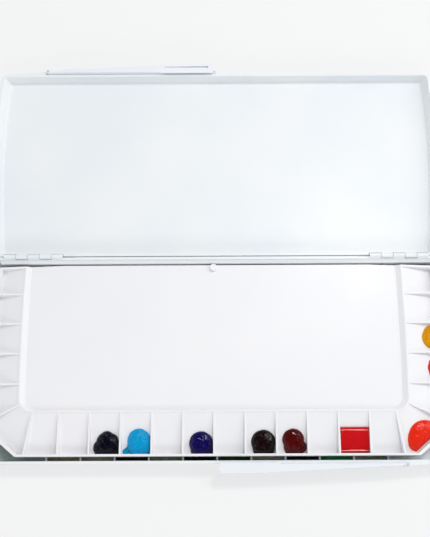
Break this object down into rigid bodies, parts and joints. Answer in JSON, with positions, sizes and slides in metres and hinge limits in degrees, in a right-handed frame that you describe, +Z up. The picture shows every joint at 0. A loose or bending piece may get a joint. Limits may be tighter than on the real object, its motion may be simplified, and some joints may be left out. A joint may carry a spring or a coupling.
{
  "type": "folding mixing palette",
  "caption": "Folding white plastic watercolour palette with a lift-out well tray, a shallow mixing lid on two pin hinges, and swing-out latch arms.",
  "frame": {"origin": "centre of the base's flat underside, with the palette laid open", "axes": "+X runs along the hinge to the right, +Y points from the front rim of the base towards the hinge and the open lid, +Z up"},
  "size_m": [0.4064, 0.3735, 0.0261],
  "materials": {
    "white_plastic": "smooth glossy moulded white plastic",
    "pin_steel": "plain steel rod",
    "pin_plastic": "white plastic rivet",
    "indigo_paint": "wet glossy paint",
    "turquoise_paint": "wet glossy paint",
    "violet_paint": "wet glossy paint",
    "maroon_paint": "wet glossy paint",
    "dark_red_paint": "wet glossy paint",
    "red_paint": "smooth glossy paint",
    "orange_red_paint": "wet glossy paint",
    "yellow_paint": "wet glossy paint",
    "vermilion_paint": "wet glossy paint",
    "black_paint": "glossy paint pooled in a well",
    "dark_green_paint": "glossy paint pooled in a well",
    "green_paint": "glossy paint pooled in a well",
    "grey_green_paint": "dried paint with light specks"
  },
  "bodies": {
    "base": {"base_tray": "white_plastic", "hinge_pin_left": "pin_steel", "hinge_pin_right": "pin_steel", "base_latch_pin": "pin_plastic", "black_puddle_left": "black_paint", "black_puddle_centre": "black_paint", "black_puddle_right": "black_paint", "dark_green_puddle": "dark_green_paint", "green_puddle": "green_paint", "grey_green_puddle": "grey_green_paint"},
    "lid": {"lid": "white_plastic", "lid_latch_pin": "pin_plastic"},
    "inner_tray": {"inner_tray": "white_plastic", "indigo_dab": "indigo_paint", "turquoise_dab": "turquoise_paint", "violet_dab": "violet_paint", "maroon_dab": "maroon_paint", "dark_red_dab": "dark_red_paint", "red_pan": "red_paint", "orange_red_dab": "orange_red_paint", "yellow_dab": "yellow_paint", "vermilion_dab": "vermilion_paint"},
    "base_latch_arm": {"base_latch_arm": "white_plastic"},
    "lid_latch_arm": {"lid_latch_arm": "white_plastic"}
  },
  "joints": [
    {"name": "lid_fold", "type": "hinge", "parent": "base", "child": "lid", "pos_m": [0, 0.08945, 0.0221], "axis": [1, 0, 0], "range_deg": [0, 180]},
    {"name": "tray_lift", "type": "slide", "parent": "base", "child": "inner_tray", "axis": [0, 0, 1], "range_m": [0, 0.06]},
    {"name": "base_latch_swing", "type": "hinge", "parent": "base", "child": "base_latch_arm", "pos_m": [0.1565, -0.0907, 0.02], "axis": [0, 0, 1], "range_deg": [0, 75]},
    {"name": "lid_latch_swing", "type": "hinge", "parent": "lid", "child": "lid_latch_arm", "pos_m": [-0.1565, 0.2696, 0.02], "axis": [0, 0, 1], "range_deg": [0, 75]}
  ]
}
